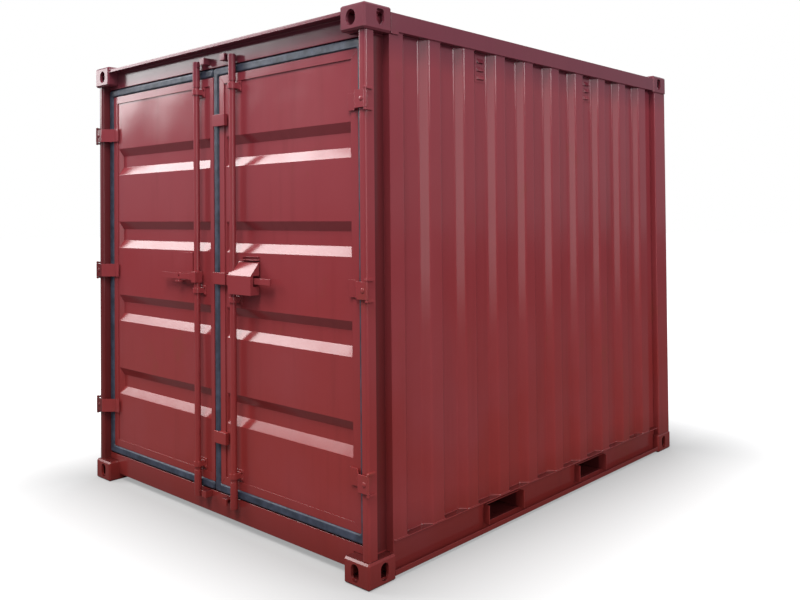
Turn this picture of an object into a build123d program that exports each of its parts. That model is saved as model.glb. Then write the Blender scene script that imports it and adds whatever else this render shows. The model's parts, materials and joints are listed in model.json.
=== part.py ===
from build123d import *
import os

# Ten foot storage container with a pair of cargo doors.
# Millimetres, Z up, origin on the ground under the middle of the container.
# The doors are at the low Y end, the wide axis is X.

# Overall size
width = 2438.0
length = 2991.0
height = 2591.0

# Clearances: touching sheets of one body, and how far a cut runs past a face
sheet_gap = 0.3
cut_over = 1.0

# Corner castings
cast_x = 162.0
cast_y = 178.0
cast_z = 118.0
cast_wall = 16.0
cast_plate = 28.0
cast_bevel = 9.0
low_hole_w = 50.0
low_hole_h = 80.0
top_hole_w = 60.0
top_hole_h = 72.0
shield_w = 50.0
shield_h = 80.0
shield_shoulder = 13.0
shield_round = 14.0
lock_hole_w = 63.5
lock_hole_l = 124.0
hole_from_side = 89.0
hole_from_end = 101.5

# Posts at the door end
post_inset = 16.0
post_limb = 45.0
post_skin = 6.0
post_depth = 56.0
groove_depth = 39.0
post_round = 14.0
stop_depth = 42.0
stop_width = 48.0

# Posts at the closed end
rear_inset = 5.0
rear_round = 7.0
rear_flat = 157.0
rear_groove_depth = 38.0
rear_post_face = 137.0
rear_wall_set = 115.0

# Header and sill
face_setback = 65.5
top_set = 19.0
head_depth = 60.0
head_height = 116.0
lip_reach = 55.0
lip_height = 20.0
sill_low = 38.0
sill_top = 157.0

# Side rails
rail_inset = 6.0
top_rail_w = 60.0
top_rail_h = 85.0
top_rail_skin = 4.0
drop_plate_len = 54.0
low_rail_top = 172.0
low_rail_low = 14.0
low_rail_web_in = 35.0
low_rail_ledge = 63.0
low_rail_skin = 5.0
low_rail_lip = 26.0

# Corrugated walls
wall_inset = 14.0
wall_sheet = 2.0
wave_depth = 36.0
wave_flank_w = 36.0
wall_crest_w = 90.0
wall_wave_run = 270.0
end_lap = 10.0
end_crest_w = 92.0
end_waves = 8

# Roof
roof_sheet = 2.0
roof_wave_depth = 20.0
roof_crest_w = 70.0
roof_flank_w = 20.0
roof_waves = 14
roof_drop = 4.0

# Floor and underframe
floor_thick = 28.0
floor_gap = 3.0
member_w = 45.0
member_low = 40.0
member_skin = 5.0
member_beside_pocket = 240.0
member_end = 87.5

# Fork pockets
pocket_pitch = 900.0
pocket_w = 310.0
pocket_low = 52.0
pocket_high = 138.0
pocket_skin = 6.0

# Door leaves
seal_w = 45.0
seal_gap = 5.0
seal_depth = 44.0
seal_front = 6.0
seal_round = 12.0
seal_mid_low = -12.0
leaf_gap = 10.0
leaf_depth = 50.0
border_w = 45.0
meet_border_w = 30.0
border_fall = 3.0
border_land = 1.0
field_setback = 6.0
field_sheet = 2.5
swage_edge = 413.0
swage_count = 4
swage_open_h = 164.0
swage_floor_h = 70.0
swage_depth = 26.0
swage_end_w = 14.0
swage_margin = 10.0

# Hinges
pin_inset = 7.5
pin_r = 4.0
pin_play = 0.5
knuckle_r = 7.5
blade_thick = 7.0
blade_h = 80.0
blade_reach = 62.0
blade_bend = 60.0
blade_foot = 62.0
hinge_low_in = 253.0
hinge_high_in = 243.0
ear_thick = 10.0
ear_gap = 2.0
ear_len = 48.0
ear_w = 12.0

# Locking bars
bar_left_in = 128.0
bar_right_in = 158.0
bar_forward = 29.0
bar_r = 17.0
bar_under = 42.0
bar_over = 44.0
sleeve_r = 20.0
sleeve_len = 140.0
cam_h = 30.0
cam_nose = 24.0
guide_low_in = 81.0
guide_high_in = 74.0
guide_left_drop = 74.0
guide_right_drop = 104.0
guide_h = 30.0
guide_play = 0.4
guide_wall = 7.0
guide_plate_w = 78.0
guide_plate_h = 56.0

# Keepers
keeper_near = 52.0
keeper_far = 92.0
keeper_reach = 42.0
keeper_h = 36.0
keeper_wall = 9.0
keeper_above = 38.0
keeper_below = 19.0

# Handles
handle_z = 1312.0
hub_h = 60.0
hub_w = 40.0
hub_y = 26.0
handle_h = 32.0
handle_thick = 10.0
left_handle_len = 349.0
right_handle_len = 313.0
left_pivot_off = 38.0
pivot_r = 8.0
eye_off = 178.0
eye_r = 20.0
fork_play = 1.0
fork_cheek = 7.0
fork_back = 18.0
fork_h = 40.0
catch_left = 27.0
catch_right = 94.0
catch_above = 132.0
catch_below = 20.0
catch_thick = 8.0
shelf_gap = 5.0
shelf_w = 52.0
shelf_thick = 8.0
shelf_reach = 12.0

# Lock box on the right bar
box_left = 7.0
box_right = 187.0
box_front = 58.0
box_stand = 8.0
box_below = 72.0
box_front_above = 26.0
box_back_above = 97.0
box_skin = 3.0
box_fit = 1.0
box_slot_h = 56.0
box_slot_front = 12.0

# Cover plates on the middle seal
cover_in = 12.0
cover_w = 109.0
cover_h = 64.0
cover_thick = 8.0
cover_stand = 15.0
cover_foot_gap = 4.0

# Vents
vent_side = 10.0
vent_h = 138.0
vent_plate = 2.0
vent_edge = 11.0
vent_pitch = 43.0
vent_drop = 85.0
vent_slots = 3
hood_h = 22.0
hood_out = 13.0
hood_skin = 2.0
hood_taper = 12.0
vent_skip = 2

# Values that follow from the sizes above
half_w = width / 2
half_l = length / 2
face_y = -half_l + face_setback
post_x = half_w - post_inset
post_front = -half_l + post_inset
post_end = -half_l + cast_y
opening_half = post_x - post_limb
head_top = height - top_set
opening_high = head_top - head_height
top_rail_low = head_top - top_rail_h
rail_x = half_w - rail_inset
wall_x = half_w - wall_inset
cast_low_z = height - cast_z
cast_in_x = half_w - cast_x
cast_in_y = half_l - cast_y
pin_x = half_w - pin_inset
pin_y = -half_l + pin_inset
seal_x = opening_half - seal_gap
seal_low_z = sill_top + seal_gap
seal_high_z = opening_high - seal_gap
seal_mid_high = seal_mid_low + seal_w
leaf_x = seal_x - seal_w
leaf_low_z = seal_low_z + seal_w
leaf_high_z = seal_high_z - seal_w
leaf_mid_left = seal_mid_low - leaf_gap
field_y = face_y + field_setback
swage_pitch = (leaf_high_z - leaf_low_z - 2 * swage_edge) / (swage_count - 1)
wall_end = cast_in_y - rear_wall_set
wall_waves = round((wall_end - post_end - wall_crest_w) / wall_wave_run)
wall_pitch = (wall_end - post_end - wall_crest_w) / wall_waves
vent_w = wall_pitch - wall_crest_w - 2 * wave_flank_w - 2 * vent_side
hood_w = vent_w - 2 * vent_edge
rear_out = half_l - rear_inset
rear_x = half_w - rear_inset
rear_flat_start = rear_out - rear_flat
rear_rail_in = rear_out - head_depth
floor_low = low_rail_top - floor_thick
hinge_low_z = leaf_low_z + hinge_low_in
hinge_high_z = leaf_high_z - hinge_high_in
hinge_z = (hinge_low_z, (hinge_low_z + hinge_high_z) / 2, hinge_high_z)
bar_left_x = seal_mid_low - bar_left_in
bar_right_x = seal_mid_high + bar_right_in
bar_y = face_y - bar_forward
bar_low = sill_top - bar_under
bar_high = opening_high + bar_over
left_pivot_x = bar_left_x - left_pivot_off
eye_x = bar_left_x - eye_off
sides = {"left": -1, "right": 1}

os.makedirs("parts", exist_ok=True)


def save(part, name):
    part.label = name
    export_step(part, "parts/" + name + ".step")


def box_between(x0, x1, y0, y1, z0, z1, mode=Mode.ADD):
    with Locations(((x0 + x1) / 2, (y0 + y1) / 2, (z0 + z1) / 2)):
        Box(abs(x1 - x0), abs(y1 - y0), abs(z1 - z0), mode=mode)


# Outline of a corrugated sheet from u = 0, with its outer crest at v = 0
def wave_outline(waves, pitch, crest, flank, deep, sheet):
    outer = [(0.0, 0.0)]
    for i in range(waves):
        start = i * pitch + crest
        outer.append((start, 0.0))
        outer.append((start + flank, -deep))
        outer.append(((i + 1) * pitch - flank, -deep))
        outer.append(((i + 1) * pitch, 0.0))
    outer.append((waves * pitch + crest, 0.0))
    inner = [(u, v - sheet) for u, v in reversed(outer)]
    return outer + inner


# Corner castings
def corner_casting(sx, sy, low_z, plate_up):
    cx = sx * (half_w - cast_x / 2)
    cy = sy * (half_l - cast_y / 2)
    cz = low_z + cast_z / 2
    hole_x = sx * (half_w - hole_from_side)
    hole_y = sy * (half_l - hole_from_end)
    plate_z = low_z + cast_z - cast_plate / 2 if plate_up else low_z + cast_plate / 2
    cavity_low = low_z + (cast_wall if plate_up else cast_plate)
    cavity_high = low_z + cast_z - (cast_plate if plate_up else cast_wall)
    with BuildPart() as casting:
        with Locations((cx, cy, cz)):
            Box(cast_x, cast_y, cast_z)
        chamfer(casting.edges(), cast_bevel)
        box_between(
            cx - cast_x / 2 + cast_wall,
            cx + cast_x / 2 - cast_wall,
            cy - cast_y / 2 + cast_wall,
            cy + cast_y / 2 - cast_wall,
            cavity_low,
            cavity_high,
            Mode.SUBTRACT,
        )
        with BuildSketch(Plane.XY.offset(plate_z)):
            with Locations((hole_x, hole_y)):
                SlotOverall(lock_hole_l, lock_hole_w, rotation=90)
        extrude(amount=cast_plate / 2 + cut_over, both=True, mode=Mode.SUBTRACT)
        with BuildSketch(Plane.XZ.offset(-sy * (half_l - cast_wall / 2))):
            with Locations((hole_x, cz)):
                if plate_up:
                    SlotOverall(top_hole_h, top_hole_w, rotation=90)
                else:
                    SlotOverall(low_hole_h, low_hole_w, rotation=90)
        extrude(amount=cast_wall / 2 + cut_over, both=True, mode=Mode.SUBTRACT)
        with BuildSketch(Plane.YZ.offset(sx * (half_w - cast_wall / 2))):
            if plate_up:
                with BuildLine():
                    Polyline(
                        (hole_y - shield_w / 2, cz + shield_h / 2),
                        (hole_y + shield_w / 2, cz + shield_h / 2),
                        (hole_y + shield_w / 2, cz - shield_shoulder),
                        (hole_y, cz - shield_h / 2),
                        (hole_y - shield_w / 2, cz - shield_shoulder),
                        close=True,
                    )
                make_face()
                fillet(vertices(), shield_round)
            else:
                with Locations((hole_y, cz)):
                    SlotOverall(low_hole_h, low_hole_w, rotation=90)
        extrude(amount=cast_wall / 2 + cut_over, both=True, mode=Mode.SUBTRACT)
    return casting.part


for end, sy in (("door", -1), ("rear", 1)):
    for side, sx in sides.items():
        save(corner_casting(sx, sy, cast_low_z, True), "casting_top_" + end + "_" + side)
        save(corner_casting(sx, sy, 0.0, False), "casting_low_" + end + "_" + side)

# Posts at the door end: hollow front limb, groove web and door stop
for side, sx in sides.items():
    web_x = post_x - groove_depth
    limb_back = post_front + post_depth
    mid_x = sx * (opening_half + post_x) / 2
    mid_y = post_front + post_depth / 2
    with BuildPart() as post:
        with BuildSketch(Plane.XY.offset(cast_z)):
            with Locations((mid_x, mid_y)):
                Rectangle(post_x - opening_half, post_depth)
            fillet(vertices().sort_by(Axis.Y)[:2], post_round)
            with Locations((mid_x, mid_y)):
                RectangleRounded(
                    post_x - opening_half - 2 * post_skin,
                    post_depth - 2 * post_skin,
                    post_round - post_skin,
                    mode=Mode.SUBTRACT,
                )
            with Locations((sx * (web_x - post_skin / 2), (limb_back + post_end) / 2 - post_skin / 2)):
                Rectangle(post_skin, post_end - limb_back + post_skin)
            with Locations((sx * (web_x + wall_x) / 2 - sx * post_skin / 2, post_end - post_skin / 2)):
                Rectangle(wall_x - web_x + post_skin, post_skin)
            stop_x = sx * (web_x - post_skin - stop_width / 2)
            with Locations((stop_x, post_end - stop_depth / 2)):
                Rectangle(stop_width, stop_depth)
                Rectangle(stop_width - 2 * post_skin, stop_depth - 2 * post_skin, mode=Mode.SUBTRACT)
        extrude(amount=cast_low_z - cast_z)
    save(post.part, "door_post_" + side)

# Posts at the closed end
for side, sx in sides.items():
    web_x = rear_x - rear_groove_depth
    limb_w = rear_x - web_x + post_skin
    with BuildPart() as post:
        with BuildSketch(Plane.XY.offset(cast_z)):
            with Locations((sx * (rear_x - limb_w / 2), rear_out - rear_flat / 2)):
                RectangleRounded(limb_w, rear_flat, rear_round)
                Rectangle(limb_w - 2 * post_skin, rear_flat - 2 * post_skin, mode=Mode.SUBTRACT)
            with Locations((sx * (rear_x - (limb_w + rear_post_face) / 2), rear_out - post_skin / 2)):
                Rectangle(rear_post_face - limb_w + 2 * rear_round, post_skin)
            with Locations((sx * (web_x - post_skin / 2), (wall_end + rear_flat_start) / 2 + rear_round / 2)):
                Rectangle(post_skin, rear_flat_start - wall_end + rear_round)
            with Locations((sx * (web_x + wall_x) / 2 - sx * post_skin / 2, wall_end + post_skin / 2)):
                Rectangle(wall_x - web_x + post_skin, post_skin)
        extrude(amount=top_rail_low - cast_z)
        box_between(sx * cast_in_x, sx * half_w, cast_in_y, half_l, cast_low_z, height, Mode.SUBTRACT)
        box_between(sx * cast_in_x, sx * half_w, wall_end, cast_in_y, 0, low_rail_top, Mode.SUBTRACT)
    save(post.part, "rear_post_" + side)

# Header with its projecting top lip
with BuildPart() as header:
    box_between(-cast_in_x, cast_in_x, face_y, face_y + head_depth, opening_high, head_top)
    box_between(-opening_half, opening_half, face_y, face_y + head_depth, opening_high, cast_low_z)
    box_between(-cast_in_x, cast_in_x, face_y - lip_reach, face_y, head_top - lip_height, head_top)
save(header.part, "door_header")

# Sill
with BuildPart() as sill:
    box_between(-cast_in_x, cast_in_x, face_y, face_y + head_depth, sill_low, sill_top)
    box_between(-opening_half, opening_half, face_y, face_y + head_depth, cast_z, sill_top)
save(sill.part, "door_sill")

# Rails across the closed end
with BuildPart() as rear_top:
    box_between(-cast_in_x, cast_in_x, rear_rail_in, rear_out, cast_low_z, head_top)
save(rear_top.part, "rear_top_rail")

with BuildPart() as rear_low:
    box_between(-cast_in_x, cast_in_x, rear_rail_in, rear_out, sill_low, sill_top)
save(rear_low.part, "rear_bottom_rail")

# Side rails
for side, sx in sides.items():
    with BuildPart() as top_rail:
        box_between(sx * (rail_x - top_rail_w), sx * rail_x, -cast_in_y, cast_in_y, top_rail_low, head_top)
        box_between(
            sx * (rail_x - top_rail_w + top_rail_skin),
            sx * (rail_x - top_rail_skin),
            -cast_in_y,
            cast_in_y,
            top_rail_low + top_rail_skin,
            head_top - top_rail_skin,
            Mode.SUBTRACT,
        )
        box_between(
            sx * (wall_x + sheet_gap),
            sx * rail_x,
            -cast_in_y,
            -cast_in_y + drop_plate_len,
            cast_low_z,
            top_rail_low,
        )
    save(top_rail.part, "top_side_rail_" + side)

    web_out = rail_x - low_rail_web_in
    with BuildPart() as low_rail:
        with BuildSketch(Plane.XZ.offset(-cast_in_y)):
            with Locations((sx * (rail_x - low_rail_ledge / 2), low_rail_top - low_rail_skin / 2)):
                Rectangle(low_rail_ledge, low_rail_skin)
            with Locations((sx * (web_out - low_rail_skin / 2), (low_rail_top + low_rail_low) / 2)):
                Rectangle(low_rail_skin, low_rail_top - low_rail_low)
            with Locations((sx * (rail_x + web_out - low_rail_skin) / 2, low_rail_low + low_rail_skin / 2)):
                Rectangle(rail_x - web_out + low_rail_skin, low_rail_skin)
            with Locations((sx * (rail_x - low_rail_skin / 2), low_rail_low + low_rail_lip / 2)):
                Rectangle(low_rail_skin, low_rail_lip)
        extrude(amount=2 * cast_in_y)
        for sy in (-1, 1):
            box_between(
                sx * (web_out - 2 * low_rail_skin),
                sx * (web_out + low_rail_skin / 2),
                sy * pocket_pitch / 2 - pocket_w / 2 - pocket_skin,
                sy * pocket_pitch / 2 + pocket_w / 2 + pocket_skin,
                pocket_low - pocket_skin,
                pocket_high + pocket_skin,
                Mode.SUBTRACT,
            )
    save(low_rail.part, "bottom_side_rail_" + side)

# Fork pockets: side plates right across to the rail faces, top and bottom plates between them
pocket_mids = (-pocket_pitch / 2, pocket_pitch / 2)
pocket_x = rail_x - low_rail_web_in + low_rail_skin
with BuildPart() as pocket_sides:
    for mid in pocket_mids:
        for sy in (-1, 1):
            box_between(
                -rail_x,
                rail_x,
                mid + sy * pocket_w / 2,
                mid + sy * (pocket_w / 2 + pocket_skin),
                pocket_low - pocket_skin,
                pocket_high + pocket_skin,
            )
save(pocket_sides.part, "fork_pocket_sides")

with BuildPart() as pocket_plates:
    for mid in pocket_mids:
        for z0, z1 in ((pocket_low - pocket_skin, pocket_low), (pocket_high, pocket_high + pocket_skin)):
            box_between(-pocket_x, pocket_x, mid - pocket_w / 2, mid + pocket_w / 2, z0, z1)
save(pocket_plates.part, "fork_pocket_plates")

# Side walls
for side, sx in sides.items():
    outline = wave_outline(wall_waves, wall_pitch, wall_crest_w, wave_flank_w, wave_depth, wall_sheet)
    points = [(sx * (wall_x + v), post_end + u) for u, v in outline]
    with BuildPart() as wall:
        with BuildSketch(Plane.XY.offset(low_rail_top)):
            with BuildLine():
                Polyline(*points, close=True)
            make_face()
        extrude(amount=top_rail_low - low_rail_top)
    save(wall.part, "side_wall_" + side)

# Closed end wall
end_span = 2 * (rear_x - rear_post_face + end_lap)
end_pitch = (end_span - end_crest_w) / end_waves
end_outline = wave_outline(end_waves, end_pitch, end_crest_w, wave_flank_w, wave_depth, wall_sheet)
end_points = [(u - end_span / 2, rear_out - post_skin + v) for u, v in end_outline]
with BuildPart() as end_wall:
    with BuildSketch(Plane.XY.offset(sill_top)):
        with BuildLine():
            Polyline(*end_points, close=True)
        make_face()
    extrude(amount=cast_low_z - sill_top)
save(end_wall.part, "end_wall")

# Roof sheet with waves that run across
roof_span = rear_rail_in - face_y - head_depth
roof_pitch = (roof_span - roof_crest_w) / roof_waves
roof_outline = wave_outline(roof_waves, roof_pitch, roof_crest_w, roof_flank_w, roof_wave_depth, roof_sheet)
roof_half_x = rail_x - top_rail_w
roof_mid_y = (face_y + head_depth + rear_rail_in) / 2
roof_points = [(u - roof_span / 2 + roof_mid_y, head_top - roof_drop + v) for u, v in roof_outline]
with BuildPart() as roof:
    with BuildSketch(Plane.YZ.offset(-roof_half_x)):
        with BuildLine():
            Polyline(*roof_points, close=True)
        make_face()
    extrude(amount=2 * roof_half_x)
    for sx in (-1, 1):
        for sy in (-1, 1):
            box_between(
                sx * cast_in_x,
                sx * half_w,
                sy * cast_in_y,
                sy * half_l,
                cast_low_z,
                height,
                Mode.SUBTRACT,
            )
save(roof.part, "roof_panel")

# Floor and cross members
floor_half_x = rail_x - low_rail_ledge - floor_gap
with BuildPart() as floor:
    box_between(
        -floor_half_x,
        floor_half_x,
        face_y + head_depth,
        rear_rail_in,
        floor_low,
        low_rail_top,
    )
    for sx in (-1, 1):
        box_between(
            sx * (opening_half - stop_width - floor_gap),
            sx * opening_half,
            face_y,
            post_end + floor_gap,
            floor_low,
            low_rail_top,
            Mode.SUBTRACT,
        )
save(floor.part, "floor_boards")

member_half_x = rail_x - low_rail_web_in - low_rail_skin
member_inner = pocket_pitch / 2 - member_beside_pocket
member_outer = pocket_pitch / 2 + member_beside_pocket
member_last = cast_in_y - member_end
member_places = (member_inner, member_outer, (member_outer + member_last) / 2, member_last)
with BuildPart() as members:
    for y in (0.0, *member_places, *[-place for place in member_places]):
        box_between(
            -member_half_x,
            member_half_x,
            y - member_w / 2,
            y + member_w / 2,
            member_low,
            floor_low,
        )
        box_between(
            -member_half_x,
            member_half_x,
            y - member_w / 2 + member_skin,
            y + member_w / 2,
            member_low + member_skin,
            floor_low - member_skin,
            Mode.SUBTRACT,
        )
save(members.part, "cross_members")

# Hinge ears and pins on the door posts
for side, sx in sides.items():
    with BuildPart() as ears:
        for z in hinge_z:
            for sz in (-1, 1):
                low = z + sz * (blade_h / 2 + ear_gap + ear_thick / 2) - ear_thick / 2
                with BuildSketch(Plane.XY.offset(low)):
                    with Locations((sx * (post_x + ear_w / 2), pin_y + ear_len / 2)):
                        Rectangle(ear_w, ear_len)
                    with Locations((sx * pin_x, pin_y)):
                        Circle(knuckle_r)
                extrude(amount=ear_thick)
            pin_len = blade_h + 2 * ear_gap + 2 * ear_thick
            with Locations((sx * pin_x, pin_y, z)):
                Cylinder(pin_r, pin_len)
    save(ears.part, "hinge_ears_" + side)

# Keepers for the bar cams
for level, z in (("header", opening_high + keeper_above), ("sill", sill_top - keeper_below)):
    with BuildPart() as keepers:
        for bar_x, sx in ((bar_left_x, 1), (bar_right_x, -1)):
            box_between(
                bar_x + sx * keeper_near,
                bar_x + sx * keeper_far,
                face_y - keeper_reach,
                face_y,
                z - keeper_h / 2,
                z + keeper_h / 2,
            )
            box_between(
                bar_x + sx * (keeper_near - cut_over),
                bar_x + sx * (keeper_far - keeper_wall),
                face_y - keeper_reach + keeper_wall,
                face_y - keeper_wall,
                z - keeper_h / 2 - cut_over,
                z + keeper_h / 2 - keeper_wall,
                Mode.SUBTRACT,
            )
    save(keepers.part, level + "_keepers")

# Louvred vents in two recesses of each side wall: hoods open below on a thin plate
vent_z = top_rail_low - vent_drop
vent_x = wall_x - wave_depth
vent_waves = (vent_skip, wall_waves - 1 - vent_skip)
for side, sx in sides.items():
    with BuildPart() as vents:
        for i in vent_waves:
            y = post_end + wall_crest_w / 2 + (i + 0.5) * wall_pitch
            box_between(
                sx * vent_x,
                sx * (vent_x + vent_plate),
                y - vent_w / 2,
                y + vent_w / 2,
                vent_z - vent_h / 2,
                vent_z + vent_h / 2,
            )
            for k in range(vent_slots):
                low = vent_z + (k - (vent_slots - 1) / 2) * vent_pitch - hood_h / 2
                with BuildSketch(Plane.XY.offset(low)):
                    with BuildLine():
                        Polyline(
                            (sx * vent_x, y - hood_w / 2),
                            (sx * vent_x, y + hood_w / 2),
                            (sx * (vent_x + hood_out), y + hood_w / 2 - hood_taper),
                            (sx * (vent_x + hood_out), y - hood_w / 2 + hood_taper),
                            close=True,
                        )
                    make_face()
                with BuildSketch(Plane.XY.offset(low + hood_h)):
                    with Locations((sx * (vent_x + vent_plate / 2), y)):
                        Rectangle(vent_plate, hood_w - hood_taper)
                loft()
                with BuildSketch(Plane.XY.offset(low)):
                    with BuildLine():
                        Polyline(
                            (sx * (vent_x + vent_plate), y - hood_w / 2 + 2 * hood_skin),
                            (sx * (vent_x + vent_plate), y + hood_w / 2 - 2 * hood_skin),
                            (sx * (vent_x + hood_out - hood_skin), y + hood_w / 2 - hood_taper),
                            (sx * (vent_x + hood_out - hood_skin), y - hood_w / 2 + hood_taper),
                            close=True,
                        )
                    make_face()
                with BuildSketch(Plane.XY.offset(low + hood_h / 2)):
                    with Locations((sx * (vent_x + vent_plate + hood_skin / 2), y)):
                        Rectangle(hood_skin, hood_w - 2 * hood_taper)
                loft(mode=Mode.SUBTRACT)
    save(vents.part, "wall_vents_" + side)

# Door leaves: splayed border frame and pressed panel
leaf_edges = {
    "left": (-leaf_x, leaf_mid_left, border_w, meet_border_w),
    "right": (seal_mid_high, leaf_x, border_w, border_w),
}
for side, (x0, x1, left_border_w, right_border_w) in leaf_edges.items():
    mid = ((x0 + x1) / 2, (leaf_low_z + leaf_high_z) / 2)
    wide = x1 - x0
    tall = leaf_high_z - leaf_low_z
    panel_mid = ((x0 + left_border_w + x1 - right_border_w) / 2, mid[1])
    panel_w = wide - left_border_w - right_border_w
    panel_h = tall - 2 * border_w
    with BuildPart() as frame:
        with BuildSketch(Plane.XZ.offset(-(face_y + border_fall))):
            with Locations(mid):
                Rectangle(wide, tall)
        extrude(amount=-(leaf_depth - border_fall))
        with BuildSketch(Plane.XZ.offset(-(face_y + border_fall))):
            with Locations(mid):
                Rectangle(wide, tall)
        with BuildSketch(Plane.XZ.offset(-face_y)):
            with Locations(panel_mid):
                Rectangle(panel_w + 2 * border_land, panel_h + 2 * border_land)
        loft()
        with BuildSketch(Plane.XZ.offset(-face_y)):
            with Locations(panel_mid):
                Rectangle(panel_w, panel_h)
        extrude(amount=-leaf_depth, mode=Mode.SUBTRACT)
    save(frame.part, "leaf_frame_" + side)

    open_w = panel_w - 2 * swage_margin
    floor_w = open_w - 2 * swage_end_w
    with BuildPart() as panel:
        with BuildSketch(Plane.XZ.offset(-field_y)):
            with Locations(panel_mid):
                Rectangle(panel_w, panel_h)
        extrude(amount=-field_sheet)
        for i in range(swage_count):
            centre = (panel_mid[0], leaf_low_z + swage_edge + i * swage_pitch)
            with BuildSketch(Plane.XZ.offset(-(field_y + field_sheet / 2))):
                with Locations(centre):
                    Rectangle(open_w + field_sheet, swage_open_h + field_sheet)
            with BuildSketch(Plane.XZ.offset(-(field_y + swage_depth + field_sheet))):
                with Locations(centre):
                    Rectangle(floor_w + field_sheet, swage_floor_h + field_sheet)
            loft()
            with BuildSketch(Plane.XZ.offset(-field_y)):
                with Locations(centre):
                    Rectangle(open_w, swage_open_h)
            with BuildSketch(Plane.XZ.offset(-(field_y + swage_depth))):
                with Locations(centre):
                    Rectangle(floor_w, swage_floor_h)
            loft(mode=Mode.SUBTRACT)
    save(panel.part, "leaf_panel_" + side)

# Rubber seals, the right leaf carries the middle strip
seal_edges = {"left": (-seal_x, leaf_mid_left), "right": (seal_mid_low, seal_x)}
for side, (x0, x1) in seal_edges.items():
    leaf_x0, leaf_x1 = leaf_edges[side][:2]
    leaf_x1 = leaf_x1 + cut_over if side == "left" else leaf_x1
    with BuildPart() as seal:
        with BuildSketch(Plane.XZ.offset(-(face_y - seal_front))):
            with Locations(((x0 + x1) / 2, (seal_low_z + seal_high_z) / 2)):
                Rectangle(x1 - x0, seal_high_z - seal_low_z)
            with Locations(((leaf_x0 + leaf_x1) / 2, (leaf_low_z + leaf_high_z) / 2)):
                Rectangle(leaf_x1 - leaf_x0, leaf_high_z - leaf_low_z, mode=Mode.SUBTRACT)
        extrude(amount=-seal_depth)
        fillet(seal.faces().sort_by(Axis.Y)[0].edges(), seal_round)
    save(seal.part, "seal_" + side)

# Hinge blades
for side, sx in sides.items():
    front = pin_y - blade_thick / 2
    back = pin_y + blade_thick / 2
    foot_start = sx * (pin_x - blade_reach - blade_bend)
    foot_end = sx * (leaf_x - blade_foot)
    with BuildPart() as blades:
        for z in hinge_z:
            with BuildSketch(Plane.XY.offset(z - blade_h / 2)):
                with BuildLine():
                    Polyline(
                        (sx * pin_x, front),
                        (sx * (pin_x - blade_reach), front),
                        (foot_start, face_y - blade_thick),
                        (foot_end, face_y - blade_thick),
                        (foot_end, face_y),
                        (foot_start, face_y),
                        (sx * (pin_x - blade_reach), back),
                        (sx * pin_x, back),
                        close=True,
                    )
                make_face()
                with Locations((sx * pin_x, pin_y)):
                    Circle(knuckle_r)
                    Circle(pin_r + pin_play, mode=Mode.SUBTRACT)
            extrude(amount=blade_h)
    save(blades.part, "hinge_blades_" + side)

# Bar guides on the leaves
for side, bar_x, mid_z in (
    ("left", bar_left_x, handle_z - guide_left_drop),
    ("right", bar_right_x, handle_z - guide_right_drop),
):
    with BuildPart() as guides:
        for z in (leaf_low_z + guide_low_in, mid_z, leaf_high_z - guide_high_in):
            box_between(
                bar_x - guide_plate_w / 2,
                bar_x + guide_plate_w / 2,
                field_y - guide_wall,
                field_y,
                z - guide_plate_h / 2,
                z + guide_plate_h / 2,
            )
            hole_r = bar_r + guide_play
            box_between(
                bar_x - hole_r - guide_wall,
                bar_x + hole_r + guide_wall,
                bar_y,
                field_y,
                z - guide_h / 2,
                z + guide_h / 2,
            )
            with Locations((bar_x, bar_y, z)):
                Cylinder(hole_r + guide_wall, guide_h)
                Cylinder(hole_r, guide_h, mode=Mode.SUBTRACT)
    save(guides.part, "bar_guides_" + side)

# Locking bars with sleeves, cams and a hub for the handle
for side, bar_x, sx in (("left", bar_left_x, 1), ("right", bar_right_x, -1)):
    with BuildPart() as bar:
        with BuildSketch(Plane.XY.offset(bar_low)):
            with Locations((bar_x, bar_y)):
                Circle(bar_r)
        extrude(amount=bar_high - bar_low)
        for z0, z1 in ((bar_low, bar_low + sleeve_len), (bar_high - sleeve_len, bar_high)):
            with BuildSketch(Plane.XY.offset(z0)):
                with Locations((bar_x, bar_y)):
                    Circle(sleeve_r)
            extrude(amount=z1 - z0)
        for z0 in (bar_low, bar_high - cam_h):
            with BuildSketch(Plane.XY.offset(z0)):
                with Locations((bar_x + sx * cam_nose / 2, bar_y)):
                    Rectangle(cam_nose, sleeve_r)
            extrude(amount=cam_h)
        box_between(
            bar_x - hub_w / 2,
            bar_x + hub_w / 2,
            bar_y - hub_y,
            bar_y + hub_w / 2,
            handle_z - hub_h / 2,
            handle_z + hub_h / 2,
        )
    save(bar.part, "lock_bar_" + side)

# Left handle on its pivot beside the hub
with BuildPart() as left_handle:
    with BuildSketch(Plane.XZ.offset(-(bar_y + handle_thick / 2))):
        with Locations((left_pivot_x - left_handle_len / 2 + left_pivot_off / 2, handle_z)):
            Rectangle(left_handle_len - left_pivot_off, handle_h)
        with Locations((left_pivot_x, handle_z)):
            Circle(handle_h / 2)
            Circle(pivot_r + pin_play, mode=Mode.SUBTRACT)
        with Locations((eye_x, handle_z)):
            Circle(eye_r)
            Circle(pivot_r, mode=Mode.SUBTRACT)
    extrude(amount=handle_thick)
save(left_handle.part, "handle_left")

# Fork on the left bar that carries the handle pivot
fork_gap = handle_thick / 2 + fork_play
with BuildPart() as fork:
    for sy in (-1, 1):
        box_between(
            left_pivot_x - fork_back,
            bar_left_x - hub_w / 2,
            bar_y + sy * fork_gap,
            bar_y + sy * (fork_gap + fork_cheek),
            handle_z - fork_h / 2,
            handle_z + fork_h / 2,
        )
    with Locations(Location((left_pivot_x, bar_y, handle_z), (90, 0, 0))):
        Cylinder(pivot_r, 2 * (fork_gap + fork_cheek))
save(fork.part, "handle_fork_left")

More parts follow.
